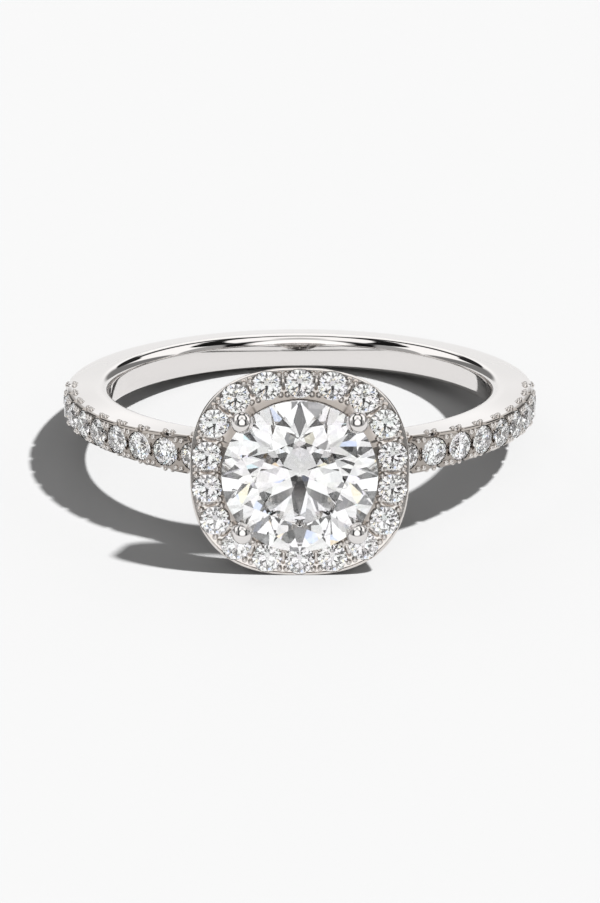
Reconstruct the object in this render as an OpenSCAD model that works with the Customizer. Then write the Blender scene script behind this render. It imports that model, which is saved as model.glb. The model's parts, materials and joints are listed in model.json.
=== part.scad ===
// Halo ring with a round centre stone, a cushion of small stones and a part stone-set band, in millimetres.

/* [Band] */
// Radius of the finger hole
bore_r = 8.45; // [7.5:0.05:10.5]
// Outer radius of the plain half of the band
band_r = 10.37; // [9.5:0.01:12]
// Width of the band along the finger, at its inner side
band_w = 1.7; // [1.4:0.05:3]
// Width of the band along the finger, at its outer side
face_w = 1.32; // [1.1:0.02:3]
// Rounding of the two inner edges
inner_round = 0.5; // [0.2:0.05:0.7]
// Rounding of the two outer edges
outer_round = 0.12; // [0.08:0.01:0.3]

/* [Band stones] */
// Width across of every small stone
small_d = 1.24; // [1:0.02:1.6]
// Stones on each side of the band
side_stones = 9; // [3:1:12]
// Angle from the head to the first stone
first_angle = 25.6; // [22:0.1:30]
// Angle from one stone to the next
step_angle = 8; // [7.6:0.1:10]
// Distance from the middle of the finger hole to the edge of a band stone
side_girdle_r = 10.3; // [9.5:0.01:12]

/* [Halo] */
// Half of the halo's width, across the finger
halo_a = 4.57; // [4:0.01:6]
// Half of the halo's height, along the finger
halo_b = 4.49; // [4:0.01:6]
// Squareness of the cushion outline, 2 is an oval
halo_power = 2.5; // [2:0.05:4]
// Distance from the middle of the finger hole to the halo's front face
halo_front = 11.8; // [11:0.05:14]
// Thickness of the halo's frame
halo_t = 1.05; // [0.8:0.05:2]
// Narrowing of that frame towards its back, on each side
halo_taper = 0.32; // [0.22:0.01:0.36]
// Radius of the opening under the centre stone
halo_hole_r = 3.02; // [2.6:0.02:4]
// Half width of the line on which the halo stones stand
row_a = 3.89; // [3.5:0.01:5]
// Half height of the line on which the halo stones stand
row_b = 3.82; // [3.5:0.01:5]
// Squareness of that line
row_power = 2.6; // [2:0.05:4]

/* [Centre stone] */
// Width across of the centre stone
main_d = 6.5; // [5:0.1:8]
// Distance from the middle of the finger hole to the edge of the centre stone
main_girdle_r = 12.4; // [12:0.05:15]

/* [Prongs] */
// Width of a prong's wire
prong_d = 0.8; // [0.6:0.05:1.2]
// Width of the round joint where a prong bends, and at its foot
joint_d = 0.88; // [0.85:0.01:1]
// Width of a prong's round tip
tip_d = 0.88; // [0.7:0.02:1.3]
// Distance of the tips from the axis of the centre stone
prong_r = 3.37; // [3:0.01:4]
// Distance of the prongs' feet from that axis
foot_r = 1.75; // [1.2:0.05:2.5]
// Height of the tips in front of the centre stone's edge
tip_rise = 0.24; // [0.1:0.02:0.6]

/* [Setting] */
// Gap between a stone and its seat
seat_gap = 0.02; // [0.01:0.01:0.05]
// Width of a bead of metal beside a small stone
bead_d = 0.34; // [0.2:0.02:0.5]
// Distance of the beads from the middle of their row of stones
bead_out = 0.42; // [0.35:0.01:0.6]
// Width of the hole under a small stone
light_hole_d = 0.44; // [0.2:0.02:0.5]
// Depth of that hole below the stone's edge
light_hole_depth = 1.6; // [0.8:0.05:1.7]

/* [Gallery] */
// Radius of the rail that joins the prongs' feet
rail_r = 2.15; // [1.8:0.05:3]
// Thickness of the rail
rail_d = 0.75; // [0.5:0.05:1]
// Distance from the middle of the finger hole to the rail
rail_y = 9.95; // [9.5:0.05:11]

/* [Hidden] */

// A round cut has eight mains, and sixteen half facets above its edge and below it
MAINS = 8;
main_step = 360 / MAINS;
half_step = main_step / 2;
mid_half = half_step / 2;

// Its angles, and its sizes as parts of its width
crown_angle = 34.5;
pavilion_angle = 40.8;
table_part = 0.57;
girdle_part = 0.025;
// How far the stars reach from the table to the edge, and where the lower halves end
star_part = 0.52;
low_part = 0.28;
// Corners in the edge of the centre stone and of a small stone
MAIN_SIDES = 64;
SMALL_SIDES = 16;

$fn = 96;

// Angles of the five halo stones between the top of the halo and its side
row_angles = [90, 69.8, 50.2, 30.6, 10.3];

main_r = main_d / 2;
halo_back = halo_front - halo_t;
girdle_in_halo = halo_front - seat_gap;
halo_back_part = 1 - halo_taper / halo_a;
prong_bend_y = halo_back + 0.4;
seat_wall = 0.5;
// Steeper than the lower mains, so that a seat clears the edges between them
seat_angle = pavilion_angle + 1;
// Inner end of the crown's cone in the centre stone's seat, as a part of its radius
seat_top_part = 1 / 3;
HALO_COUNT = 18;

// The ring lies on the lower edge of the halo's front and on the lower outer edge of the band's back
edge_y = band_r - outer_round;
edge_z = face_w / 2 - outer_round;
reach = halo_front + edge_y;
rise = halo_b - edge_z;
tilt = atan2(rise, reach) - asin(outer_round / norm([reach, rise]));
lift = halo_b * cos(tilt) - halo_front * sin(tilt);
table_y = main_girdle_r + main_d * girdle_part / 2 + main_r * (1 - table_part) * tan(crown_angle);
front_y = table_y * cos(tilt) + main_r * table_part * sin(tilt);
back_y = edge_y * cos(tilt) + edge_z * sin(tilt) + outer_round;
shift = (front_y - back_y) / 2;

function two_digits(i) = i < 10 ? str("0", i) : str(i);
function halo_name(i) = str("halo_stone_", two_digits(i));
function left_name(i) = str("band_stone_left_", i);
function right_name(i) = str("band_stone_right_", i);

// One point of a rounded square, at an angle from its middle
function cushion_radius(a, b, power, angle) =
    pow(pow(abs(cos(angle)) / a, power) + pow(abs(sin(angle)) / b, power), -1 / power);
function cushion_point(a, b, power, angle) =
    cushion_radius(a, b, power, angle) * [cos(angle), sin(angle)];
function cushion(a, b, power, count) =
    [for (i = [0 : count - 1]) cushion_point(a, b, power, i * 360 / count)];

// The halo stones' angles, clockwise from the top of the halo
last_row = len(row_angles) - 1;
right_angles = concat(row_angles, [for (i = [last_row : -1 : 0]) -row_angles[i]]);
halo_angles = concat(right_angles, [for (i = [2 * last_row : -1 : 1]) 180 - right_angles[i]]);
function halo_spot(i) = cushion_point(row_a, row_b, row_power, halo_angles[i]);

// An arc of a drawn outline
function arc(middle, radius, from, to, count) =
    [for (i = [0 : count], angle = from + (to - from) * i / count)
        middle + radius * [cos(angle), sin(angle)]];

// Outline of the band, distance from the finger's axis and height along it
slope = atan2((band_w - face_w) / 2, band_r - bore_r - inner_round);
upper_outline = concat(
    arc([band_r - outer_round, face_w / 2 - outer_round], outer_round, 0, 90 - slope, 4),
    arc([bore_r + inner_round, band_w / 2 - inner_round], inner_round, 90, 180, 8)
);
lower_outline = [for (i = [len(upper_outline) - 1 : -1 : 0]) [upper_outline[i].x, -upper_outline[i].y]];

// From the ring's own place, its axis upright and its head at the front, to the place where it lies
module lay() {
    translate([0, shift, lift]) rotate([-tilt, 0, 0]) children();
}

// From a stone's own place, its table up, to a place in the halo
module in_halo(spot, distance) {
    translate([spot.x, -distance, spot.y]) rotate([90, 0, 0]) children();
}

// From a stone's own place, its table up, to a place on the band; a positive angle is to the right
module on_band(angle, distance) {
    rotate([0, 0, angle]) translate([0, -distance, 0]) rotate([90, 0, 0]) children();
}

// Distance by which the round edge passes the straight side of its half facet, at corner i
function bulge(r, step, i) = r * (cos((step * i) % half_step - mid_half) - cos(mid_half));

// A round cut with its edge at height zero: table, stars, kites and halves, then the same below.
// The edge is thinner in the middle of each half facet, which makes the facet flat.
module brilliant(d, sides) {
    r = d / 2;
    step = 360 / sides;
    per_main = sides / MAINS;
    half_girdle = d * girdle_part / 2;
    table_r = r * table_part;
    star_r = r * (table_part + star_part * (1 - table_part));
    low_r = r * low_part;
    top = half_girdle + (r - table_r) * tan(crown_angle);
    star_z = half_girdle + (r - star_r * cos(half_step)) * tan(crown_angle);
    low_z = -half_girdle - (r - low_r * cos(half_step)) * tan(pavilion_angle);
    culet_z = -half_girdle - r * tan(pavilion_angle);
    upper_fall = (star_z - half_girdle) / (r - star_r) / cos(mid_half);
    lower_fall = (-half_girdle - low_z) / (r - low_r) / cos(mid_half);
    ring = [for (i = [0 : sides - 1]) r * [cos(step * i), sin(step * i)]];
    table_points = [for (i = [0 : MAINS - 1])
        [table_r * cos(main_step * i), table_r * sin(main_step * i), top]];
    star_points = [for (i = [0 : MAINS - 1])
        [star_r * cos(main_step * i + half_step), star_r * sin(main_step * i + half_step), star_z]];
    upper_points = [for (i = [0 : sides - 1])
        [ring[i].x, ring[i].y, half_girdle - upper_fall * bulge(r, step, i)]];
    lower_points = [for (i = [0 : sides - 1])
        [ring[i].x, ring[i].y, -half_girdle + lower_fall * bulge(r, step, i)]];
    low_points = [for (i = [0 : MAINS - 1])
        [low_r * cos(main_step * i + half_step), low_r * sin(main_step * i + half_step), low_z]];
    star = MAINS;
    upper = star + MAINS;
    lower = upper + sides;
    low = lower + sides;
    culet = low + MAINS;
    last = MAINS - 1;
    faces = concat(
        [[for (i = [last : -1 : 0]) i]],
        [for (i = [0 : last]) [i, (i + 1) % MAINS, star + i]],
        [for (i = [0 : last]) [i, star + i, upper + i * per_main]],
        [for (i = [0 : last]) [i, upper + i * per_main, star + (i + last) % MAINS]],
        [for (i = [0 : last], k = [0 : per_main - 1])
            [star + i, upper + (i * per_main + k + 1) % sides, upper + i * per_main + k]],
        [for (i = [0 : sides - 1]) [upper + i, upper + (i + 1) % sides, lower + (i + 1) % sides]],
        [for (i = [0 : sides - 1]) [upper + i, lower + (i + 1) % sides, lower + i]],
        [for (i = [0 : last], k = [0 : per_main - 1])
            [low + i, lower + i * per_main + k, lower + (i * per_main + k + 1) % sides]],
        [for (i = [0 : last]) [culet, lower + i * per_main, low + i]],
        [for (i = [0 : last]) [culet, low + (i + last) % MAINS, lower + i * per_main]]
    );
    culet_point = [0, 0, culet_z];
    points = concat(table_points, star_points, upper_points, lower_points, low_points, [culet_point]);
    polyhedron(points, faces);
}

// The space of a small stone with its gap: a cone below and a straight wall above
module small_seat() {
    r = small_d / 2 + seat_gap;
    edge = small_d * girdle_part / 2 + seat_gap;
    rotate_extrude() polygon([
        [0, -edge - r * tan(seat_angle)],
        [r, -edge],
        [r, seat_wall],
        [0, seat_wall]
    ]);
    translate([0, 0, -light_hole_depth]) cylinder(d = light_hole_d, h = light_hole_depth, $fn = 24);
}

// The space of the centre stone, with its crown's cone, so that the tips close over its edge
module main_seat() {
    r = main_r + seat_gap;
    half_girdle = main_d * girdle_part / 2;
    depth = r * tan(seat_angle);
    edge = half_girdle + seat_gap;
    top_r = r * seat_top_part;
    top = edge + (r - top_r) * tan(crown_angle);
    rotate_extrude() polygon([
        [0, -edge - depth],
        [r, -edge],
        [r, edge],
        [top_r, top],
        [0, top]
    ]);
}

module band() {
    rotate_extrude($fn = 240) polygon(concat(upper_outline, lower_outline));
}

module halo_frame() {
    translate([0, -halo_back, 0]) rotate([90, 0, 0]) difference() {
        linear_extrude(halo_t, scale = 1 / halo_back_part)
            polygon(halo_back_part * cushion(halo_a, halo_b, halo_power, 144));
        translate([0, 0, -1]) cylinder(r = halo_hole_r, h = halo_t + 2);
    }
}

// A round wire between two places, with a round joint at its start
module wire(from, to) {
    way = to - from;
    length = norm(way);
    translate(from) rotate([0, acos(way.z / length), atan2(way.y, way.x)]) {
        cylinder(d = prong_d, h = length, $fn = 32);
        sphere(d = joint_d, $fn = 32);
    }
}

module prongs() {
    tip_y = -main_girdle_r - tip_rise;
    for (side = [-1, 1], level = [-1, 1]) {
        spread = prong_r / sqrt(2);
        foot = foot_r / sqrt(2);
        tip = [side * spread, tip_y, level * spread];
        bend = [side * spread, -prong_bend_y, level * spread];
        wire(bend, tip);
        wire([side * foot, -rail_y, level * foot], bend);
        translate(tip) rotate([90, 0, 0]) sphere(d = tip_d, $fn = 48);
    }
}

module lower_rail() {
    translate([0, -rail_y, 0]) rotate([90, 0, 0])
        rotate_extrude() translate([rail_r, 0]) circle(d = rail_d, $fn = 32);
}

module halo_beads() {
    for (i = [0 : HALO_COUNT - 1]) {
        here = halo_spot(i);
        next = halo_spot((i + 1) % HALO_COUNT);
        middle = (here + next) / 2;
        along = (next - here) / norm(next - here);
        across = [-along.y, along.x];
        for (side = [-1, 1]) {
            in_halo(middle + side * bead_out * across, halo_front) sphere(d = bead_d, $fn = 24);
        }
    }
}

module band_beads() {
    for (side = [-1, 1], i = [0 : side_stones], level = [-1, 1]) {
        angle = side * (first_angle + (i - 0.5) * step_angle);
        rotate([0, 0, angle]) translate([0, -side_girdle_r, level * bead_out])
            sphere(d = bead_d, $fn = 24);
    }
}

module ring_body() {
    color([0.86, 0.85, 0.84]) lay() {
        difference() {
            union() {
                band();
                lower_rail();
                halo_frame();
                prongs();
                halo_beads();
                band_beads();
            }
            translate([0, -main_girdle_r, 0]) rotate([90, 0, 0]) main_seat();
            for (i = [0 : HALO_COUNT - 1]) {
                in_halo(halo_spot(i), girdle_in_halo) small_seat();
            }
            for (side = [-1, 1], i = [0 : side_stones - 1]) {
                on_band(side * (first_angle + i * step_angle), side_girdle_r) small_seat();
            }
        }
    }
}

module centre_stone() {
    color([0.9, 0.95, 1, 0.6]) lay() in_halo([0, 0], main_girdle_r) brilliant(main_d, MAIN_SIDES);
}

module halo_stone(i) {
    color([0.9, 0.95, 1, 0.6]) lay() in_halo(halo_spot(i - 1), girdle_in_halo) brilliant(small_d, SMALL_SIDES);
}

module side_stone(side, i) {
    color([0.9, 0.95, 1, 0.6]) lay()
        on_band(side * (first_angle + (i - 1) * step_angle), side_girdle_r) brilliant(small_d, SMALL_SIDES);
}

ring_body();
centre_stone();
for (i = [1 : HALO_COUNT]) {
    halo_stone(i);
}
for (i = [1 : side_stones]) {
    side_stone(-1, i);
    side_stone(1, i);
}
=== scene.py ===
"""The look of a silver halo ring: polished metal, a round centre stone and rows of small stones.

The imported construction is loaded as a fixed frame. Its stones stay, with finer materials, and its metal is
replaced by finer pieces: hoop, band beads, halo frame, halo beads, prongs and gallery rail.

Pieces are modelled in millimetres in one of two places of their own. In the ring's place the finger's
axis is Z and the head points towards -Y. In the head's place Z points out of the head, Y is along the finger
and X to the right. Each finished piece is brought to metres and laid where the frame has it.
"""

import json
import logging
import math
from abc import ABC, abstractmethod
from collections.abc import Callable, Iterable, Mapping, Sequence
from dataclasses import dataclass, replace
from enum import Enum

import bpy
from mathutils import Matrix, Vector


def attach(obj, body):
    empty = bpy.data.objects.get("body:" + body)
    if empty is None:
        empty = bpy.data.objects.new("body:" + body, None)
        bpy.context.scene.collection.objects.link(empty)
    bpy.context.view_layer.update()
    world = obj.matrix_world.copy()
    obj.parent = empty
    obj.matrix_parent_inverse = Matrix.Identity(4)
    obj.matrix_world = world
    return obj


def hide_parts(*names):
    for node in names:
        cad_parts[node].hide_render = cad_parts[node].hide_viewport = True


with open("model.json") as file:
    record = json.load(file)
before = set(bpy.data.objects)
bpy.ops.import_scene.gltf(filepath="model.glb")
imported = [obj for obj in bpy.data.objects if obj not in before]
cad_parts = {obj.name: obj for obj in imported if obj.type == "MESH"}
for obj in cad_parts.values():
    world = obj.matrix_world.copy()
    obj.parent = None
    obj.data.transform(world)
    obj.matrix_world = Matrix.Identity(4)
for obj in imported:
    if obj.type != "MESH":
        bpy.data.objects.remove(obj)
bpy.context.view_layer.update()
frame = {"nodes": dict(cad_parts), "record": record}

Piece = bpy.types.Object
Material = bpy.types.Material
Node = bpy.types.Node
Socket = bpy.types.NodeSocket
Tree = bpy.types.NodeTree
Color = tuple[float, float, float]

MM = 0.001
# Millimetres within which two heights or radii count as one
NEAR = 0.001
BODY = "root"
METAL_NODE = "ring_body"
CENTRE_NODE = "centre_stone"

log = logging.getLogger("halo_ring")


class Element(Enum):
    """What an edit in a mesh works on."""

    CORNER = "VERT"
    EDGE = "EDGE"
    FACE = "FACE"


class Slot(Enum):
    """The record's material slots."""

    METAL = "white_metal"
    CENTRE = "centre_stone"
    SMALL = "small_stones"


class Mix(Enum):
    """What a Mix node blends: its data type, the places of its three inputs, and its output's place."""

    NUMBERS = ("FLOAT", (0, 2, 3), 0)
    COLORS = ("RGBA", (0, 6, 7), 2)


def fresh() -> None:
    """Go to object mode and select nothing, so that a new primitive is alone."""
    if bpy.context.mode != "OBJECT":
        bpy.ops.object.mode_set(mode="OBJECT")
    bpy.ops.object.select_all(action="DESELECT")


def take(piece: Piece) -> None:
    """Make one piece the only selected one and the active one, in object mode."""
    fresh()
    piece.select_set(True)
    bpy.context.view_layer.objects.active = piece


def start_piece(name: str) -> Piece:
    """Name the piece that was just added or joined, and put its place in its mesh."""
    bpy.ops.object.transform_apply(location=True, rotation=False, scale=False)
    piece = bpy.context.active_object
    piece.name = name
    piece.data.name = name
    return piece


def add_circle(name: str, sides: int, radius: float, height: float = 0) -> Piece:
    """Add a loop of edges round the Z axis."""
    fresh()
    bpy.ops.mesh.primitive_circle_add(vertices=sides, radius=radius, location=(0, 0, height))
    return start_piece(name)


def add_cone(name: str, sides: int, radii: tuple[float, float], depth: float, top: float) -> Piece:
    """Add a closed cone or a stump of one round the Z axis, with a lower and an upper radius."""
    fresh()
    middle = (0, 0, top - depth / 2)
    sizes = {"radius1": radii[0], "radius2": radii[1], "depth": depth}
    bpy.ops.mesh.primitive_cone_add(vertices=sides, location=middle, **sizes)
    return start_piece(name)


def set_in_place(piece: Piece, place: Matrix) -> None:
    """Move a piece by a matrix, and put that move in its mesh."""
    take(piece)
    piece.matrix_world = place
    bpy.ops.object.transform_apply(location=True, rotation=True, scale=True)


def pick(piece: Piece, element: Element, wanted: Callable[[Vector], bool]) -> None:
    """Select corners by their place, in edit mode, and the edges or faces between them.

    Args:
        piece: The piece being edited.
        element: What the next edit works on.
        wanted: Says of a place whether it is picked.
    """
    bpy.ops.mesh.select_mode(type=Element.CORNER.value)
    bpy.ops.mesh.select_all(action="DESELECT")
    bpy.ops.object.mode_set(mode="OBJECT")
    for corner in piece.data.vertices:
        corner.select = wanted(corner.co)
    bpy.ops.object.mode_set(mode="EDIT")
    bpy.ops.mesh.select_mode(type=element.value)


def edit(piece: Piece) -> None:
    """Open a piece in edit mode with all of it selected."""
    take(piece)
    bpy.ops.object.mode_set(mode="EDIT")
    bpy.ops.mesh.select_all(action="SELECT")


def extrude(move: Sequence[float]) -> None:
    """Extrude what is selected by a move in millimetres."""
    bpy.ops.mesh.extrude_region_move(TRANSFORM_OT_translate={"value": move})


def follow(stations: Sequence[tuple[float, float]]) -> None:
    """Extrude the selected loop round the Z axis from one size and height to the next.

    Args:
        stations: Size and height of each loop. The selected loop has the first ones already.
    """
    for (size, height), (next_size, next_height) in zip(stations, stations[1:]):
        extrude((0, 0, next_height - height))
        part = next_size / size
        bpy.ops.transform.resize(value=(part, part, 1), center_override=(0, 0, next_height))


def close_skin(weld: float = 0.0005) -> None:
    """Weld the doubles of the mesh in edit mode and turn its faces outwards.

    Args:
        weld: Distance in millimetres below which corners become one.
    """
    bpy.ops.mesh.select_mode(type=Element.CORNER.value)
    bpy.ops.mesh.select_all(action="SELECT")
    bpy.ops.mesh.remove_doubles(threshold=weld)
    bpy.ops.mesh.normals_make_consistent(inside=False)
    bpy.ops.object.mode_set(mode="OBJECT")


def copies(model: Piece, places: Iterable[Matrix]) -> list[Piece]:
    """Copy a model to each place, each copy with its own mesh, and remove the model.

    Args:
        model: The piece that is repeated.
        places: Where the copies go.

    Returns:
        The copies, each with its place in its mesh.
    """
    made = []
    for place in places:
        copy = model.copy()
        copy.data = model.data.copy()
        copy.data.transform(place)
        bpy.context.collection.objects.link(copy)
        made.append(copy)
    bpy.data.objects.remove(model)
    return made


def joined(pieces: Sequence[Piece], name: str) -> Piece:
    """Join pieces, at least one, into one with a new name."""
    take(pieces[0])
    for piece in pieces:
        piece.select_set(True)
    bpy.ops.object.join()
    return start_piece(name)


def cut(piece: Piece, tool: Piece) -> None:
    """Cut a tool's shape out of a piece, and remove the tool."""
    take(piece)
    modifier = piece.modifiers.new("cut", "BOOLEAN")
    modifier.operation = "DIFFERENCE"
    modifier.solver = "EXACT"
    modifier.object = tool
    bpy.ops.object.modifier_apply(modifier=modifier.name)
    bpy.data.objects.remove(tool)


def cut_all(piece: Piece, tool: Piece, places: Iterable[Matrix]) -> None:
    """Cut a tool's shape out of a piece at each place, and remove the tool."""
    cut(piece, joined(copies(tool, places), "cutters"))


def soften(piece: Piece, width: float = 0.01, segments: int = 2, sharp: float = 38) -> None:
    """Round a piece's sharp edges and shade it smooth.

    Args:
        piece: The piece.
        width: Width of the rounding in millimetres.
        segments: Faces across the rounding.
        sharp: Angle in degrees over which an edge is rounded.
    """
    take(piece)
    modifier = piece.modifiers.new("soft_edges", "BEVEL")
    modifier.width = width
    modifier.segments = segments
    modifier.limit_method = "ANGLE"
    modifier.angle_limit = math.radians(sharp)
    modifier.harden_normals = False
    bpy.ops.object.modifier_apply(modifier=modifier.name)
    smooth(piece)


def smooth(piece: Piece, sharp: float = 32) -> None:
    """Shade a piece smooth except over edges sharper than an angle in degrees."""
    take(piece)
    bpy.ops.object.shade_smooth_by_angle(angle=math.radians(sharp))


@dataclass(frozen=True)
class Lie:
    """How the ring lies: from its own place, in millimetres, to the frame's place, in metres."""

    place: Matrix

    @classmethod
    def from_frame(cls) -> "Lie":
        """Read the lie from the frame's finger hole.

        Returns:
            The lie whose origin is the hole's middle and whose Z axis is the hole's axis.
        """
        hole = frame["record"]["mounts"][0]
        axis = Vector(hole["axis"])
        tilt = math.atan2(axis.y, axis.z)
        middle = Matrix.Translation(Vector(hole["pos_m"]))
        return cls(middle @ Matrix.Rotation(-tilt, 4, "X") @ Matrix.Scale(MM, 4))

    @staticmethod
    def head() -> Matrix:
        """From the head's place to the ring's own place."""
        return Matrix.Rotation(math.pi / 2, 4, "X")

    @staticmethod
    def on_band(angle: float, distance: float) -> Matrix:
        """From a stone's own place, table up, to the band, at degrees right of the head and a distance."""
        turn = Matrix.Rotation(math.radians(angle), 4, "Z")
        return turn @ Matrix.Translation((0, -distance, 0)) @ Lie.head()

    def finish(self, piece: Piece, material: Material) -> None:
        """Lay a piece down, dress it and give it to the ring's body in place of the frame's metal.

        Args:
            piece: A piece in the ring's own place.
            material: Its finish.
        """
        set_in_place(piece, self.place)
        piece.data.materials.clear()
        piece.data.materials.append(material)
        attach(piece, BODY)
        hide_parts(METAL_NODE)
        log.info("%s: %d faces", piece.name, len(piece.data.polygons))


class MetalPart(ABC):
    """A part of the ring's metal."""

    @abstractmethod
    def pieces(self) -> list[Piece]:
        """Model the part's pieces in the ring's own place."""

    def build(self, lie: Lie, metal: Material) -> list[Piece]:
        """Model the part, lay it down and dress it.

        Args:
            lie: How the ring lies.
            metal: The part's finish.

        Returns:
            The finished pieces.
        """
        made = self.pieces()
        for piece in made:
            lie.finish(piece, metal)
        return made


@dataclass(frozen=True)
class SmallSeat:
    """The space that is cut for one small stone, and the stone's own sizes."""

    stone_d: float = 1.24
    gap: float = 0.02
    wall: float = 0.5
    girdle_part: float = 0.025
    cone_angle: float = 41.8
    hole_d: float = 0.44
    hole_depth: float = 1.6
    sides: int = 48

    def cutter(self) -> Piece:
        """Model the space with the stone's edge at height zero: straight wall above, cone and hole below.

        Returns:
            The closed cutter.
        """
        radius = self.stone_d / 2 + self.gap
        hole_r = self.hole_d / 2
        edge = self.stone_d * self.girdle_part / 2 + self.gap
        depth = (radius - hole_r) * math.tan(math.radians(self.cone_angle))
        tool = add_cone("seat_cutter", self.sides, (hole_r, radius), depth, -edge)
        edit(tool)
        pick(tool, Element.FACE, lambda place: place.z > -edge - NEAR)
        follow([(radius, -edge), (radius, self.wall)])
        pick(tool, Element.FACE, lambda place: place.z < -edge - depth + NEAR)
        follow([(hole_r, -edge - depth), (hole_r, -self.hole_depth)])
        close_skin()
        return tool


@dataclass(frozen=True)
class Scoop:
    """A small bite that the setter's graver takes out of the metal, oval from above, with a dished floor."""

    half_w: float
    half_l: float
    depth: float
    rise: float = 0.4
    floor_part: float = 0.8
    dish_part: float = 0.3
    dish_depth: float = 0.15
    sides: int = 32

    def cutter(self) -> Piece:
        """Model the bite, its floor at minus its depth and narrower than its mouth.

        Returns:
            The closed cutter.
        """
        tool = add_cone("scoop", self.sides, (self.floor_part, 1), self.depth + self.rise, self.rise)
        set_in_place(tool, Matrix.Diagonal((self.half_w, self.half_l, 1, 1)))
        edit(tool)
        pick(tool, Element.FACE, lambda place: place.z < NEAR - self.depth)
        dish = min(self.half_w, self.half_l) * self.dish_part
        bpy.ops.mesh.inset(thickness=dish, depth=-self.depth * self.dish_depth)
        close_skin()
        return tool


@dataclass(frozen=True)
class Bead:
    """A small round-topped post of metal, raised beside a stone."""

    width: float = 0.24
    stem: float = 0.2
    spread: float = 1.25
    middle_part: float = 0.1
    segments: int = 16
    rings: int = 10
    sharp: float = 60

    def model(self) -> Piece:
        """Model one bead with the middle of its dome at the origin and its stem below.

        Returns:
            The closed bead.
        """
        radius = self.width / 2
        middle = radius * self.middle_part
        fresh()
        bpy.ops.mesh.primitive_uv_sphere_add(segments=self.segments, ring_count=self.rings, radius=radius)
        bead = start_piece("bead")
        edit(bead)
        pick(bead, Element.CORNER, lambda place: place.z < -middle)
        bpy.ops.mesh.delete(type="VERT")
        pick(bead, Element.EDGE, lambda place: place.z < middle)
        follow([(radius, 0), (radius * self.spread, -self.stem)])
        bpy.ops.mesh.edge_face_add()
        close_skin()
        return bead


@dataclass(frozen=True)
class StoneRow:
    """The places of the band's stones, in degrees from the head and millimetres."""

    count: int = 9
    first_angle: float = 25.6
    step: float = 8
    girdle_r: float = 10.3

    def on_both_sides(self, counts: Iterable[float]) -> list[float]:
        """The angles on both sides of the head after a number of steps each."""
        right = [self.first_angle + steps * self.step for steps in counts]
        return [-angle for angle in right] + right

    def angles(self) -> list[float]:
        """The stones' angles on both sides of the head."""
        return self.on_both_sides(range(self.count))

    def gaps(self) -> list[float]:
        """The angles between the stones, and at both ends of each row."""
        return self.on_both_sides([i - 0.5 for i in range(self.count + 1)])


@dataclass(frozen=True)
class CentreSeat:
    """The space of the centre stone, with its crown's cone, so that the tips close over its edge."""

    stone_d: float = 6.5
    girdle_z: float = 12.4
    gap: float = 0.02
    girdle_part: float = 0.025
    crown_angle: float = 34.5
    cone_angle: float = 41.8
    top_part: float = 1 / 3
    sides: int = 96

    def cutter(self) -> Piece:
        """Model the space in the head's place.

        Returns:
            The closed cutter.
        """
        radius = self.stone_d / 2 + self.gap
        edge = self.stone_d * self.girdle_part / 2 + self.gap
        depth = radius * math.tan(math.radians(self.cone_angle))
        top_r = radius * self.top_part
        top = edge + (radius - top_r) * math.tan(math.radians(self.crown_angle))
        low = self.girdle_z - edge
        tool = add_cone("centre_cutter", self.sides, (0, radius), depth, low)
        edit(tool)
        pick(tool, Element.FACE, lambda place: place.z > low - NEAR)
        follow([(radius, low), (radius, self.girdle_z + edge), (top_r, self.girdle_z + top)])
        close_skin()
        return tool


@dataclass(frozen=True)
class Shoulder:
    """The widening of the band's outer edges towards the head."""

    factor: float = 1.28
    full_angle: float = 20
    reach: float = 6.6
    outer_r: float = 10.37

    def at(self, angle: float) -> float:
        """The factor on the band's outer width at an angle in degrees from the head."""
        away = math.radians(max(abs(angle) - self.full_angle, 0)) * self.outer_r
        part = max(1 - away / self.reach, 0)
        return 1 + (self.factor - 1) * part * part * (3 - 2 * part)

    def widen(self, piece: Piece, inner_r: float) -> None:
        """Widen a hoop's outer edges towards the head, smoothly, and leave what is inside a radius as it is.

        Args:
            piece: The hoop, in edit mode, with the head towards -Y.
            inner_r: The radius up to which nothing moves.
        """
        reach_y = -self.outer_r * math.cos(math.radians(self.full_angle))
        pick(piece, Element.CORNER, lambda place: place.xy.length < inner_r)
        bpy.ops.mesh.hide(unselected=False)
        pick(piece, Element.CORNER, lambda place: place.xy.length > inner_r and place.y < reach_y)
        bpy.ops.transform.resize(
            value=(1, 1, self.factor),
            center_override=(0, 0, 0),
            use_proportional_edit=True,
            proportional_edit_falloff="SMOOTH",
            proportional_size=self.reach,
        )
        bpy.ops.mesh.reveal(select=False)


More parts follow.
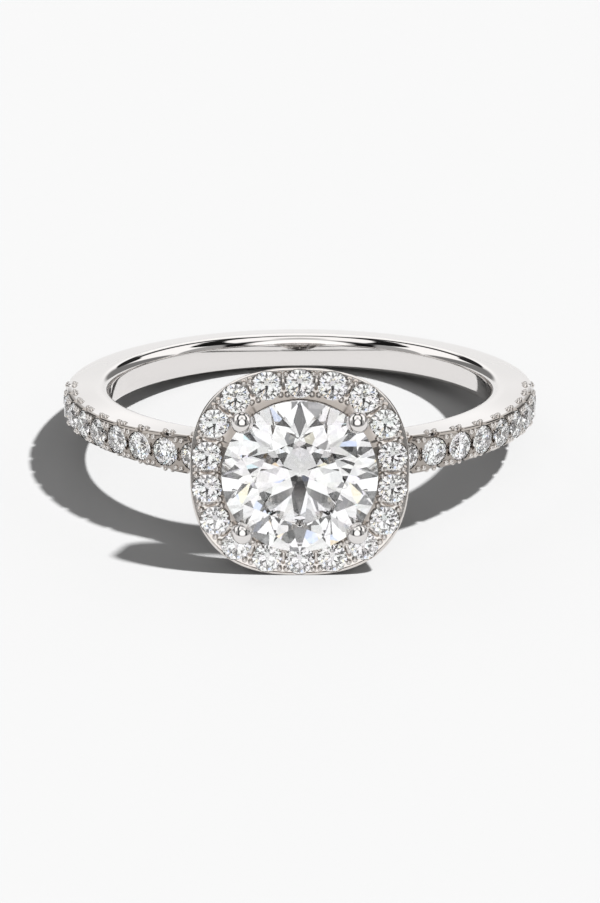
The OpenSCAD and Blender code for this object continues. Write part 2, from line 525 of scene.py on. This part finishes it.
@dataclass(frozen=True)
class Hoop(MetalPart):
    """The round band with its flat sides, rounded inner edges and seats for the band's stones."""

    bore_r: float = 8.45
    outer_r: float = 10.37
    inner_w: float = 1.7
    outer_w: float = 1.32
    inner_round: float = 0.5
    inner_segments: int = 12
    outer_round: float = 0.12
    outer_segments: int = 5
    steps: int = 300
    side_cuts: int = 4
    side_margin: float = 0.025
    seat: SmallSeat = SmallSeat()
    row: StoneRow = StoneRow()
    pit: Scoop = Scoop(half_w=0.16, half_l=0.34, depth=0.24)
    notch: Scoop = Scoop(half_w=0.46, half_l=0.42, depth=0.32)
    notch_across: float = 0.97
    shoulder: Shoulder = Shoulder()
    centre_seat: CentreSeat = CentreSeat()

    def section(self) -> Piece:
        """Draw the outline of the band, cut through at its right side.

        Returns:
            A closed loop of edges in the XZ plane.
        """
        wall = self.outer_r - self.bore_r
        middle = (self.outer_r + self.bore_r) / 2
        fresh()
        bpy.ops.mesh.primitive_plane_add(size=1)
        piece = start_piece("hoop")
        upright = Matrix.Rotation(math.pi / 2, 4, "X")
        size = Matrix.Diagonal((wall, self.inner_w, 1, 1))
        set_in_place(piece, Matrix.Translation((middle, 0, 0)) @ upright @ size)
        edit(piece)
        pick(piece, Element.CORNER, lambda place: place.x > middle)
        bpy.ops.transform.resize(value=(1, 1, self.outer_w / self.inner_w), center_override=(0, 0, 0))
        bpy.ops.mesh.bevel(offset=self.outer_round, segments=self.outer_segments, affect="VERTICES")
        pick(piece, Element.CORNER, lambda place: place.x < middle)
        bpy.ops.mesh.bevel(offset=self.inner_round, segments=self.inner_segments, affect="VERTICES")
        bpy.ops.mesh.select_all(action="SELECT")
        bpy.ops.mesh.delete(type="ONLY_FACE")
        return piece

    def split_sides(self, piece: Piece) -> None:
        """Split the flat side faces of the hoop in edit mode, so that its light runs evenly over them."""
        low = self.bore_r + self.inner_round - self.side_margin
        high = self.outer_r - self.outer_round + self.side_margin
        pick(piece, Element.FACE, lambda place: low < place.xy.length < high)
        bpy.ops.mesh.subdivide(number_cuts=self.side_cuts)

    def bites(self) -> list[Piece]:
        """Model the bites between the stones and at the stones' two sides.

        Returns:
            The cutters in their places.
        """
        pits = copies(self.pit.cutter(), [Lie.on_band(angle, self.outer_r) for angle in self.row.gaps()])
        sides = [
            Lie.on_band(angle, self.outer_r) @ Matrix.Translation((0, level * self.notch_across, 0))
            for angle in self.row.angles()
            for level in (-1, 1)
        ]
        return pits + copies(self.notch.cutter(), sides)

    def pieces(self) -> list[Piece]:
        """Spin the outline round the finger's axis and cut the seats and bites."""
        piece = self.section()
        bpy.ops.mesh.select_all(action="SELECT")
        bpy.ops.mesh.spin(steps=self.steps, angle=2 * math.pi, center=(0, 0, 0), axis=(0, 0, 1))
        self.shoulder.widen(piece, (self.outer_r + self.bore_r) / 2)
        self.split_sides(piece)
        close_skin()
        seats = [Lie.on_band(angle, self.row.girdle_r) for angle in self.row.angles()]
        cut_all(piece, self.seat.cutter(), seats)
        cut(piece, joined(self.bites(), "bites"))
        centre = self.centre_seat.cutter()
        set_in_place(centre, Lie.head())
        cut(piece, centre)
        soften(piece)
        return [piece]


@dataclass(frozen=True)
class BeadPairs:
    """A pair of beads on each edge of the band, at one angle after the other."""

    bead: Bead
    radius: float
    across: float
    apart: float
    lean: float = 0
    shoulder: Shoulder = Shoulder()

    def at(self, angles: Iterable[float]) -> list[Piece]:
        """Copy the bead to its places, leaning away from the band's middle.

        Args:
            angles: Degrees from the head to the middle of each pair.

        Returns:
            The beads.
        """
        half = math.degrees(self.apart / 2 / self.radius)
        places = [
            Lie.on_band(angle + turn, self.radius)
            @ Matrix.Translation((0, level * self.across * self.shoulder.at(angle), 0))
            @ Matrix.Rotation(-level * math.radians(self.lean), 4, "X")
            for angle in angles
            for turn in (-half, half)
            for level in (-1, 1)
        ]
        return copies(self.bead.model(), places)


@dataclass(frozen=True)
class BandBeads(MetalPart):
    """The beads that hold the band's stones: on both edges two at each gap and two nubs above each stone."""

    row: StoneRow = StoneRow()
    beads: BeadPairs = BeadPairs(Bead(), radius=10.37, across=0.49, apart=0.28)
    nubs: BeadPairs = BeadPairs(Bead(width=0.21), radius=10.04, across=0.7, apart=0.38, lean=40)

    def pieces(self) -> list[Piece]:
        """Copy the beads to the gaps and the nubs to the stones, and join them all."""
        piece = joined(self.beads.at(self.row.gaps()) + self.nubs.at(self.row.angles()), "band_beads")
        smooth(piece, self.beads.bead.sharp)
        return [piece]


@dataclass(frozen=True)
class Cushion:
    """A rounded square, given by half its width, half its height and its squareness."""

    half_w: float
    half_h: float
    power: float

    def point(self, angle: float) -> Vector:
        """The outline's point at an angle in radians."""
        across = (abs(math.cos(angle)) / self.half_w) ** self.power
        along = (abs(math.sin(angle)) / self.half_h) ** self.power
        radius = (across + along) ** (-1 / self.power)
        return Vector((radius * math.cos(angle), radius * math.sin(angle), 0))


@dataclass(frozen=True)
class HaloRow:
    """The places of the halo's stones."""

    line: Cushion = Cushion(half_w=3.89, half_h=3.82, power=2.6)
    quarter: tuple[float, ...] = (90, 69.8, 50.2, 30.6, 10.3)
    girdle_z: float = 11.78

    def angles(self) -> list[float]:
        """The stones' angles, clockwise from the top of the halo, in degrees."""
        right = list(self.quarter) + [-angle for angle in reversed(self.quarter)]
        return right + [180 - angle for angle in reversed(right[1:-1])]

    def spots(self) -> list[Vector]:
        """The stones' middles in the head's place."""
        return [self.line.point(math.radians(angle)) for angle in self.angles()]

    def places(self) -> list[Matrix]:
        """The stones' places in the head's place, at the height of their edges."""
        return [Matrix.Translation(spot + Vector((0, 0, self.girdle_z))) for spot in self.spots()]

    def gap_places(self, height: float) -> list[Matrix]:
        """The places between neighbouring stones, X along the row and Y out of it.

        Args:
            height: Their height in the head's place.

        Returns:
            The places in the head's place.
        """
        spots = self.spots()
        made = []
        for here, there in zip(spots, spots[1:] + spots[:1]):
            along = there - here
            turn = math.atan2(along.y, along.x)
            middle = (here + there) / 2
            made.append(Matrix.Translation((middle.x, middle.y, height)) @ Matrix.Rotation(turn, 4, "Z"))
        return made


@dataclass(frozen=True)
class HaloFrame(MetalPart):
    """The cushion-shaped frame round the centre stone: outer rim, channel of seats and stepped inner lip."""

    outline: Cushion = Cushion(half_w=4.57, half_h=4.49, power=2.5)
    row: HaloRow = HaloRow()
    seat: SmallSeat = SmallSeat()
    front: float = 11.8
    thickness: float = 1.05
    taper: float = 0.32
    pit: Scoop = Scoop(half_w=0.14, half_l=0.32, depth=0.3)
    hole_r: float = 3.02
    ledge: float = 0.1
    rim: float = 0.1
    lip: float = 0.12
    recess: float = 0.12
    slope: float = 0.02
    edge_round: float = 0.05
    edge_middle: float = 0.3
    sides: int = 192

    @property
    def back(self) -> float:
        """The height of the frame's back."""
        return self.front - self.thickness

    @property
    def floor(self) -> float:
        """The height of the channel's floor."""
        return self.front - self.recess

    def inner_tube(self) -> Piece:
        """Model the wall of the opening, from the back over the ledge and the lip to the channel's floor."""
        start = self.back + self.slope
        low_r = self.hole_r - self.ledge
        tube = add_circle("halo_inside", self.sides, low_r, start)
        edit(tube)
        follow([
            (low_r, start),
            (low_r, self.floor),
            (self.hole_r, self.floor),
            (self.hole_r, self.front),
            (self.hole_r + self.lip, self.front),
            (self.hole_r + self.lip, self.floor),
        ])
        return tube

    def outer_tube(self) -> Piece:
        """Model the outside, from the back over the rounded rim to the channel's floor."""
        tube = add_circle("halo_frame", self.sides, 1)
        size = self.outline.half_w
        back_size = size - self.taper
        start = (back_size - self.edge_round) / size
        middle = self.edge_round * self.edge_middle
        for corner in tube.data.vertices:
            place = self.outline.point(math.atan2(corner.co.y, corner.co.x)) * start
            corner.co = (place.x, place.y, self.back)
        edit(tube)
        follow([
            (back_size - self.edge_round, self.back),
            (back_size, self.back + self.edge_round),
            (size, self.front - self.edge_round),
            (size - middle, self.front - middle),
            (size - self.edge_round, self.front),
            (size - self.rim, self.front),
            (size - self.rim, self.floor - self.slope),
        ])
        return tube

    def pieces(self) -> list[Piece]:
        """Bridge the two walls at the back and in the channel, then cut the seats and bites."""
        near = self.slope + NEAR
        channel_r = self.hole_r + self.lip - NEAR
        piece = joined([self.outer_tube(), self.inner_tube()], "halo_frame")
        edit(piece)
        pick(piece, Element.EDGE, lambda place: place.z < self.back + near)
        bpy.ops.mesh.bridge_edge_loops()
        pick(piece, Element.EDGE, lambda at: abs(at.z - self.floor) < near and at.xy.length > channel_r)
        bpy.ops.mesh.bridge_edge_loops()
        close_skin()
        cut_all(piece, self.seat.cutter(), self.row.places())
        cut_all(piece, self.pit.cutter(), self.row.gap_places(self.front))
        soften(piece)
        set_in_place(piece, Lie.head())
        return [piece]


@dataclass(frozen=True)
class HaloBeads(MetalPart):
    """The beads between the halo's stones: two on the outer side and two on the inner side of each gap."""

    bead: Bead = Bead()
    row: HaloRow = HaloRow()
    front: float = 11.76
    across: float = 0.44
    apart: float = 0.28

    def pieces(self) -> list[Piece]:
        """Copy the bead to its places and join the copies."""
        places = [
            gap @ Matrix.Translation((side * self.apart / 2, level * self.across, 0))
            for gap in self.row.gap_places(self.front)
            for level in (-1, 1)
            for side in (-1, 1)
        ]
        piece = joined(copies(self.bead.model(), places), "halo_beads")
        smooth(piece, self.bead.sharp)
        set_in_place(piece, Lie.head())
        return [piece]


@dataclass(frozen=True)
class Prongs(MetalPart):
    """Four bent wires from the gallery rail to round tips over the edge of the centre stone."""

    wire_d: float = 0.8
    tip_d: float = 0.93
    tip_r: float = 3.37
    foot_r: float = 1.75
    foot_z: float = 9.95
    bend_z: float = 11.15
    tip_z: float = 12.64
    bend_round: float = 0.7
    bend_steps: int = 10
    sides: int = 40
    tip_rings: int = 16
    angles: tuple[float, ...] = (45, 135, 225, 315)
    seat: CentreSeat = CentreSeat()

    def one(self) -> Piece:
        """Model one prong at the head's right side, and cut the stone's seat into it.

        Returns:
            The closed prong.
        """
        wire_r = self.wire_d / 2
        ball_r = self.tip_d / 2
        run = self.tip_r - self.foot_r
        rise = self.bend_z - self.foot_z
        slant = math.atan2(run, rise)
        tangent = self.bend_round * math.tan(slant / 2)
        straight = math.hypot(run, rise) - tangent
        bend_top = self.bend_z + tangent
        neck = math.acos(wire_r / ball_r)
        turns = [-neck + (math.pi / 2 + neck) * i / self.tip_rings for i in range(self.tip_rings)]
        ball = [(ball_r * math.cos(turn), self.tip_z + ball_r * math.sin(turn)) for turn in turns]
        prong = add_circle("prong", self.sides, wire_r, bend_top)
        edit(prong)
        follow([(wire_r, bend_top)] + ball)
        extrude((0, 0, self.tip_z + ball_r - ball[-1][1]))
        bpy.ops.mesh.merge(type="CENTER")
        pick(prong, Element.EDGE, lambda place: abs(place.z - bend_top) < NEAR)
        centre = (-self.bend_round, 0, bend_top)
        bpy.ops.mesh.spin(steps=self.bend_steps, angle=slant, center=centre, axis=(0, -1, 0))
        extrude((-math.sin(slant) * straight, 0, -math.cos(slant) * straight))
        bpy.ops.mesh.edge_face_add()
        close_skin()
        set_in_place(prong, Matrix.Translation((self.tip_r, 0, 0)))
        cut(prong, self.seat.cutter())
        return prong

    def pieces(self) -> list[Piece]:
        """Copy the prong to the four diagonals."""
        turns = [Matrix.Rotation(math.radians(angle), 4, "Z") for angle in self.angles]
        prongs = copies(self.one(), [Lie.head() @ turn for turn in turns])
        for i, prong in enumerate(prongs, 1):
            prong.name = f"prong_{i}"
            smooth(prong)
        return prongs


@dataclass(frozen=True)
class GalleryRail(MetalPart):
    """The round rail, soldered to the band, on which the prongs stand."""

    radius: float = 2.15
    thickness: float = 0.75
    height: float = 9.95
    sides: int = 32
    steps: int = 120

    def pieces(self) -> list[Piece]:
        """Spin the wire's section round the head's axis."""
        piece = add_circle("gallery_rail", self.sides, self.thickness / 2)
        upright = Matrix.Rotation(math.pi / 2, 4, "X")
        set_in_place(piece, Matrix.Translation((self.radius, 0, self.height)) @ upright)
        edit(piece)
        bpy.ops.mesh.spin(steps=self.steps, angle=2 * math.pi, center=(0, 0, self.height), axis=(0, 0, 1))
        close_skin()
        smooth(piece)
        set_in_place(piece, Lie.head())
        return [piece]


@dataclass
class Graph:
    """A node tree with short ways to add and link nodes."""

    tree: Tree

    def fill(self, node: Node, given: Mapping[str | int, object]) -> None:
        """Link a node's inputs, by name or place, to outputs, or set them to plain values."""
        for key, value in given.items():
            if isinstance(value, Socket):
                self.tree.links.new(value, node.inputs[key])
            else:
                node.inputs[key].default_value = value

    def add(self, kind: str, given: Mapping[str | int, object] | None = None, **settings: object) -> Node:
        """Add a node, set its own settings and fill its inputs.

        Args:
            kind: The node's type, without the words ShaderNode.
            given: An output or a value for each input, by the input's name or place.
            settings: Values of the node's own properties.

        Returns:
            The new node.
        """
        node = self.tree.nodes.new("ShaderNode" + kind)
        for name, value in settings.items():
            setattr(node, name, value)
        self.fill(node, given or {})
        return node

    def math(self, operation: str, *values: object) -> Socket:
        """Work out an operation on numbers or outputs."""
        return self.add("Math", dict(enumerate(values)), operation=operation).outputs[0]

    def ramp(self, value: Socket, span: Sequence[float], to: Sequence[float]) -> Socket:
        """Map a value smoothly from the two ends of a span to two results."""
        given = {"Value": value, "From Min": span[0], "From Max": span[1], "To Min": to[0], "To Max": to[1]}
        return self.add("MapRange", given, interpolation_type="SMOOTHSTEP").outputs["Result"]

    def blend(self, kind: Mix, mask: Socket, value: object, other: object) -> Socket:
        """Blend two numbers or two colours: the first where the mask is zero, the other where it is one."""
        data_type, inputs, output = kind.value
        node = self.add("Mix", dict(zip(inputs, (mask, value, other))), data_type=data_type)
        return node.outputs[output]


def new_group(
    name: str, inputs: dict[str, tuple[str, object]], outputs: dict[str, str]
) -> tuple[Graph, Mapping[str, Socket], Node]:
    """Make an empty shader node group with named sockets.

    Args:
        name: The group's name.
        inputs: Kind and starting value of each input.
        outputs: Kind of each output.

    Returns:
        The group's graph, its inputs as the nodes inside see them, and the node that takes its outputs.
    """
    tree = bpy.data.node_groups.new(name, "ShaderNodeTree")
    for label, (kind, value) in inputs.items():
        socket = tree.interface.new_socket(label, in_out="INPUT", socket_type="NodeSocket" + kind)
        if value is not None:
            socket.default_value = value
    for label, kind in outputs.items():
        tree.interface.new_socket(label, in_out="OUTPUT", socket_type="NodeSocket" + kind)
    source = tree.nodes.new("NodeGroupInput")
    return Graph(tree), source.outputs, tree.nodes.new("NodeGroupOutput")


def polish_group() -> Tree:
    """Make the group for polished metal: fine marks of the polishing wheel and a faint unevenness.

    Returns:
        A group that puts out a roughness and a height.
    """
    mark_stretch = (0.25, 0.25, 1)
    mark_height = 0.02
    graph, given, result = new_group(
        "polishing_marks",
        {
            "Vector": ("Vector", None),
            "Mark Scale": ("Float", 9000.0),
            "Wave Scale": ("Float", 500.0),
            "Roughness": ("Float", 0.08),
            "Spread": ("Float", 0.04),
        },
        {"Roughness": "Float", "Height": "Float"},
    )
    point = given["Vector"]
    stretched = graph.add("Mapping", {"Vector": point, "Scale": mark_stretch}).outputs["Vector"]
    marks, waves = (
        graph.add("TexNoise", {"Vector": vector, "Scale": scale, "Detail": detail}).outputs["Fac"]
        for vector, scale, detail in ((stretched, given["Mark Scale"], 3), (point, given["Wave Scale"], 1))
    )
    spread = graph.math("MULTIPLY", graph.math("MULTIPLY", marks, waves), given["Spread"])
    height = graph.math("ADD", graph.math("MULTIPLY", marks, mark_height), waves)
    graph.fill(result, {"Roughness": graph.math("ADD", given["Roughness"], spread), "Height": height})
    return graph.tree


def painted_fire_group() -> Tree:
    """Make the group for cut stones: small patches of pale spectral colour, painted fire standing in for the
    dispersed light of real stones.

    Returns:
        A group that puts out a colour.
    """
    graph, given, result = new_group(
        "stone_painted_fire",
        {"Vector": ("Vector", None), "Patch Scale": ("Float", 2000.0), "Strength": ("Float", 0.2)},
        {"Color": "Color"},
    )
    cells = graph.add("TexVoronoi", {"Vector": given["Vector"], "Scale": given["Patch Scale"]})
    tint = graph.blend(Mix.COLORS, given["Strength"], (1, 1, 1, 1), cells.outputs["Color"])
    graph.fill(result, {"Color": tint})
    return graph.tree


def new_material(name: str) -> tuple[Material, Graph, Node]:
    """Make a material with nodes. Its graph and its Principled shader come with it."""
    material = bpy.data.materials.new(name)
    material.use_nodes = True
    shader = next(node for node in material.node_tree.nodes if node.type == "BSDF_PRINCIPLED")
    return material, Graph(material.node_tree), shader


def matte(name: str, shade: float) -> Material:
    """Make a grey material without any gloss."""
    material, graph, shader = new_material(name)
    graph.fill(shader, {"Base Color": (shade, shade, shade, 1), "Roughness": 1, "Specular IOR Level": 0})
    return material


@dataclass(frozen=True)
class Shade:
    """Painted shade: a darker colour laid on the metal on one side of a distance in millimetres from an
    axis, where it sees little light.
    """

    axis: Matrix
    light_r: float
    dark_r: float
    # The colour of the painted shade.
    color: Color = (0.4, 0.365, 0.335)
    back_end: float = 20
    back_fade: float = 1.5

    def color_at(self, graph: Graph, point: Socket, color: Color) -> Socket:
        """Blend the metal's colour with the darker colour of the painted shade.

        Args:
            graph: The material's nodes.
            point: The place on the piece, in metres.
            color: The metal's own colour.

        Returns:
            The colour at the point.
        """
        offset = graph.add("VectorMath", {0: point, 1: self.axis.translation}, operation="SUBTRACT")
        given = {0: offset.outputs["Vector"], 1: self.axis.col[2].xyz.normalized()}
        moment = graph.add("VectorMath", given, operation="CROSS_PRODUCT")
        distance = graph.add("VectorMath", {0: moment.outputs["Vector"]}, operation="LENGTH")
        span = sorted((self.light_r * MM, self.dark_r * MM))
        ends = (1, 0) if self.dark_r < self.light_r else (0, 1)
        near = graph.ramp(distance.outputs["Value"], span, ends)
        parts = graph.add("SeparateXYZ", {0: point})
        fade = (self.back_end * MM, (self.back_end + self.back_fade) * MM)
        front = graph.ramp(parts.outputs["Y"], fade, (1, 0))
        # Mask of the painted shade: one on its dark side of the span and in front, fading out towards the
        # back.
        mask = graph.math("MULTIPLY", near, front)
        return graph.blend(Mix.COLORS, mask, (*color, 1), (*self.color, 1))


@dataclass(frozen=True)
class MetalFinish:
    """A polished white metal."""

    name: str
    color: Color
    roughness: float
    spread: float
    wave: float
    wave_height: float = 0.01
    mark_scale: float = 9000
    wave_scale: float = 450
    # Painted shade blended into the metal's colour, if any.
    shade: Shade | None = None

    def make(self, polish: Tree) -> Material:
        """Make the material.

        Args:
            polish: The group with the polishing marks.

        Returns:
            The finished material.
        """
        material, graph, shader = new_material(self.name)
        point = graph.add("TexCoord").outputs["Object"]
        sizes = {"Mark Scale": self.mark_scale, "Wave Scale": self.wave_scale}
        gloss = {"Roughness": self.roughness, "Spread": self.spread}
        marks = graph.add("Group", {"Vector": point, **sizes, **gloss}, node_tree=polish).outputs
        waves = {"Strength": self.wave, "Distance": self.wave_height * MM, "Height": marks["Height"]}
        normal = graph.add("Bump", waves).outputs["Normal"]
        graph.fill(shader, {"Base Color": (*self.color, 1), "Metallic": 1})
        graph.fill(shader, {"Roughness": marks["Roughness"], "Normal": normal})
        # Painted shade: the metal's colour is darkened where it sees little light.
        if self.shade is not None:
            graph.fill(shader, {"Base Color": self.shade.color_at(graph, point, self.color)})
        return material


@dataclass(frozen=True)
class StoneFinish:
    """A clear cut stone with painted fire: pale spectral tints in its colour stand in for its dispersed
    light.
    """

    name: str
    patch_scale: float
    strength: float
    ior: float = 2.417

    def make(self, fire: Tree) -> Material:
        """Make the material.

        Args:
            fire: The group with the patches of painted fire.

        Returns:
            The finished material.
        """
        material, graph, shader = new_material(self.name)
        point = graph.add("TexCoord").outputs["Object"]
        given = {"Vector": point, "Patch Scale": self.patch_scale, "Strength": self.strength}
        # Painted fire: a faint random spectral tint in the stone's colour.
        tint = graph.add("Group", given, node_tree=fire).outputs["Color"]
        clear = {"Metallic": 0, "Roughness": 0, "IOR": self.ior, "Transmission Weight": 1}
        graph.fill(shader, {"Base Color": tint, **clear})
        return material


@dataclass(frozen=True)
class Patch:
    """A lighter or darker part of the room, alike on the left and on the right. Angles are in degrees."""

    across: float
    height: float
    half_across: float
    half_high: float
    light: float
    slant: float = 0
    edge: tuple[float, float] = (0.75, 1.3)

    def lay(self, graph: Graph, light: Socket, place: tuple[Socket, Socket]) -> Socket:
        """Lay the patch over the light so far.

        Args:
            graph: The room's nodes.
            light: The light so far.
            place: The direction's angle from the front, and its height.

        Returns:
            The light with the patch.
        """
        aside = graph.math("SUBTRACT", place[0], self.across)
        above = graph.math("SUBTRACT", place[1], self.height)
        above = graph.math("SUBTRACT", above, graph.math("MULTIPLY", aside, self.slant))
        squares = [
            graph.math("POWER", graph.math("DIVIDE", graph.math("ABSOLUTE", gap), half), 2)
            for gap, half in ((aside, self.half_across), (above, self.half_high))
        ]
        inside = graph.ramp(graph.math("ADD", *squares), self.edge, (1, 0))
        return graph.blend(Mix.NUMBERS, inside, light, self.light)


@dataclass(frozen=True)
class Studio:
    """Floor, light and camera of the picture, in metres and degrees."""

    camera_place: tuple[float, float, float] = (0.00001, -0.1556, 0.075147)
    camera_down: float = 25.598
    lens: float = 154.95
    sensor: float = 36
    clip: tuple[float, float] = (0.001, 20)
    floor_half: float = 2.0
    floor_shade: float = 0.254
    sun_travel: tuple[float, float] = (-0.555, 0.08)
    sun_strength: float = 10.75
    sun_width: float = 3.5
    card_front: float = 0.03
    card_depth: float = 0.4
    card_lift: float = 0.0001
    card_stretch: float = 2
    card_shade: float = 0.06
    room_light: float = 1.22
    horizon_light: float = 0.95
    horizon_height: float = 16
    patches: tuple[Patch, ...] = (
        Patch(across=0, height=74, half_across=40, half_high=12, light=0.6),
        Patch(across=0, height=8, half_across=70, half_high=52, light=0.01),
        Patch(across=0, height=27, half_across=34, half_high=34, light=1.3),
        Patch(across=86, height=51, half_across=36, half_high=9.5, light=0.01, slant=0.28),
        Patch(across=65, height=12, half_across=16, half_high=26, light=0.42),
        Patch(across=128, height=8, half_across=42, half_high=13, light=0.22),
        Patch(across=156, height=22.5, half_across=17, half_high=5.5, light=0.01, slant=-0.25),
        Patch(across=158, height=40, half_across=9, half_high=24, light=0.03),
        Patch(across=158, height=64, half_across=48, half_high=8, light=0.02, slant=0.12),
    )
    stone_light: float = 1.2
    stone_rings: tuple[tuple[float, float], ...] = ((55, 0.02), (44, 1.25), (16, 0.01), (8, 1.25))
    ring_fade: float = 1
    fire_scale: float = 16
    fire_colors: tuple[tuple[float, float, float, float], ...] = (
        (0.0, 1.0, 1.0, 1.0),
        (0.64, 0.22, 0.22, 0.23),
        (0.76, 0.0, 0.0, 0.0),
        (0.87, 1.0, 0.82, 0.6),
        (0.9, 1.0, 0.95, 0.75),
        (0.93, 0.75, 0.95, 1.0),
        (0.95, 0.68, 0.77, 1.0),
        (0.98, 0.9, 0.87, 1.0),
    )
    bounces: int = 24
    gloss_bounces: int = 12

    def add_camera(self) -> None:
        """Add the camera at the photograph's angle."""
        data = bpy.data.cameras.new("camera")
        data.lens = self.lens
        data.sensor_width = self.sensor
        data.clip_start, data.clip_end = self.clip
        camera = bpy.data.objects.new("camera", data)
        camera.location = self.camera_place
        camera.rotation_euler = (math.radians(90 - self.camera_down), 0, 0)
        bpy.context.collection.objects.link(camera)
        bpy.context.scene.camera = camera

    def add_floor(self) -> None:
        """Add the pale floor and the dark card in front, which only reflections see."""
        fresh()
        bpy.ops.mesh.primitive_plane_add(size=2 * self.floor_half)
        floor = start_piece("floor")
        floor.data.materials.append(matte("pale_floor", self.floor_shade))
        fresh()
        middle = -self.card_front - self.card_depth / 2
        bpy.ops.mesh.primitive_plane_add(size=self.card_depth, location=(0, middle, self.card_lift))
        card = start_piece("dark_card")
        card.scale.x = self.card_stretch
        card.data.materials.append(matte("dark_card", self.card_shade))
        for rays in ("camera", "diffuse", "transmission", "shadow"):
            setattr(card, f"visible_{rays}", False)

    def add_sun(self, blockers: Iterable[Piece]) -> None:
        """Add the light that throws the ring's shadow. Reflections don't see it.

        Args:
            blockers: The only pieces that stop this light.
        """
        data = bpy.data.lights.new("sun", "SUN")
        data.energy = self.sun_strength
        data.angle = math.radians(self.sun_width)
        sun = bpy.data.objects.new("sun", data)
        travel = Vector((*self.sun_travel, -1))
        sun.rotation_euler = travel.to_track_quat("-Z", "Y").to_euler()
        sun.visible_glossy = False
        sun.visible_transmission = False
        stops = bpy.data.collections.new("sun_blockers")
        for piece in blockers:
            stops.objects.link(piece)
        sun.light_linking.blocker_collection = stops
        bpy.context.collection.objects.link(sun)

    def room(self, graph: Graph, way: Socket) -> Socket:
        """Work out the room's light: white, with lighter and darker patches.

        Args:
            graph: The world's nodes.
            way: The direction.

        Returns:
            The light from that direction.
        """
        parts = graph.add("SeparateXYZ", {0: way}).outputs
        aside = graph.math("ABSOLUTE", parts["X"])
        front = graph.math("MULTIPLY", parts["Y"], -1)
        across = graph.math("DEGREES", graph.math("ARCTAN2", aside, front))
        height = graph.math("DEGREES", graph.math("ARCSINE", parts["Z"]))
        light = graph.ramp(height, (0, self.horizon_height), (self.horizon_light, self.room_light))
        for patch in self.patches:
            light = patch.lay(graph, light, (across, height))
        return light

    def stone_room(self, graph: Graph, way: Socket) -> Socket:
        """Work out the light that a stone sees: white, with rings about the camera and coloured fields.

        Args:
            graph: The world's nodes.
            way: The direction.

        Returns:
            The light's colour from that direction.
        """
        down = math.radians(self.camera_down)
        to_camera = (0, -math.cos(down), math.sin(down))
        ahead = graph.add("VectorMath", {0: way, 1: to_camera}, operation="DOT_PRODUCT")
        light = self.stone_light
        for radius, ring_light in self.stone_rings:
            span = [math.cos(math.radians(radius + side * self.ring_fade)) for side in (1, -1)]
            inside = graph.ramp(ahead.outputs["Value"], span, (0, 1))
            light = graph.blend(Mix.NUMBERS, inside, light, ring_light)
        cells = graph.add("TexVoronoi", {"Vector": way, "Scale": self.fire_scale})
        chance = graph.add("SeparateColor", {0: cells.outputs["Color"]})
        colors = graph.add("ValToRGB", {0: chance.outputs[0]})
        stops = colors.color_ramp.elements
        colors.color_ramp.interpolation = "CONSTANT"
        while len(stops) < len(self.fire_colors):
            stops.new(1)
        for stop, (place, *color) in zip(stops, self.fire_colors):
            stop.position = place
            stop.color = (*color, 1)
        given = {0: colors.outputs["Color"], "Scale": light}
        return graph.add("VectorMath", given, operation="SCALE").outputs["Vector"]

    def add_world(self) -> None:
        """Add the room's light to the world. The stones get their own."""
        world = bpy.data.worlds.new("room")
        world.use_nodes = True
        world.node_tree.nodes.clear()
        graph = Graph(world.node_tree)
        way = graph.add("TexCoord").outputs["Generated"]
        path = graph.add("LightPath").outputs
        light = graph.math("MAXIMUM", self.room(graph, way), path["Is Camera Ray"])
        color = graph.blend(Mix.COLORS, path["Is Transmission Ray"], light, self.stone_room(graph, way))
        background = graph.add("Background", {"Color": color})
        graph.add("OutputWorld", {"Surface": background.outputs["Background"]})
        bpy.context.scene.world = world

    def build(self, blockers: Iterable[Piece]) -> None:
        """Set up the whole studio.

        Args:
            blockers: The pieces whose shadow is seen.
        """
        self.add_camera()
        self.add_floor()
        self.add_sun(blockers)
        self.add_world()
        scene = bpy.context.scene
        scene.view_settings.view_transform = "Standard"
        scene.cycles.max_bounces = self.bounces
        scene.cycles.transmission_bounces = self.bounces
        scene.cycles.glossy_bounces = self.gloss_bounces


def dress_stones(node_names: Iterable[str], material: Material) -> None:
    """Give the frame's stones their finish.

    Args:
        node_names: The stones' nodes.
        material: The finish.
    """
    for name in node_names:
        node = frame["nodes"][name]
        for socket in node.material_slots:
            socket.material = material
        log.info("%s dressed", name)


def main() -> None:
    """Build and dress the ring, then the studio round it."""
    logging.basicConfig(level=logging.INFO, format="%(name)s %(message)s")
    lie = Lie.from_frame()
    polish = polish_group()
    fire = painted_fire_group()
    # Painted shade: a darker colour laid on the metal between the band's stones and round the halo's
    # opening, where it sees little light.
    row = Shade(lie.place, light_r=10.1, dark_r=10.2, back_end=0.2)
    opening = Shade(lie.place @ Lie.head(), light_r=3.8, dark_r=3.3)
    bright = MetalFinish("bright_white_metal", (0.8, 0.775, 0.76), roughness=0.03, spread=0.04, wave=0.06)
    beaded = MetalFinish("beaded_white_metal", (0.74, 0.705, 0.675), roughness=0.12, spread=0.08, wave=0.1)
    hoop_metal_with_painted_shade = replace(bright, name="hoop_white_metal_painted_shade", shade=row).make(polish)
    frame_metal_with_painted_shade = replace(beaded, name="frame_white_metal_painted_shade", shade=opening).make(polish)
    bright_metal = bright.make(polish)
    bead_metal = beaded.make(polish)
    blockers = Hoop().build(lie, hoop_metal_with_painted_shade)
    BandBeads().build(lie, bead_metal)
    blockers += HaloFrame().build(lie, frame_metal_with_painted_shade)
    HaloBeads().build(lie, bead_metal)
    Prongs().build(lie, bright_metal)
    blockers += GalleryRail().build(lie, bright_metal)
    Studio().build(blockers)
    small = [name for name in frame["nodes"] if name not in (METAL_NODE, CENTRE_NODE)]
    centre_finish = StoneFinish("centre_stone", patch_scale=1500, strength=0.05)
    small_finish = StoneFinish("small_stone", patch_scale=4000, strength=0.06)
    dress_stones([CENTRE_NODE], centre_finish.make(fire))
    dress_stones(small, small_finish.make(fire))


if __name__ == "__main__":
    main()
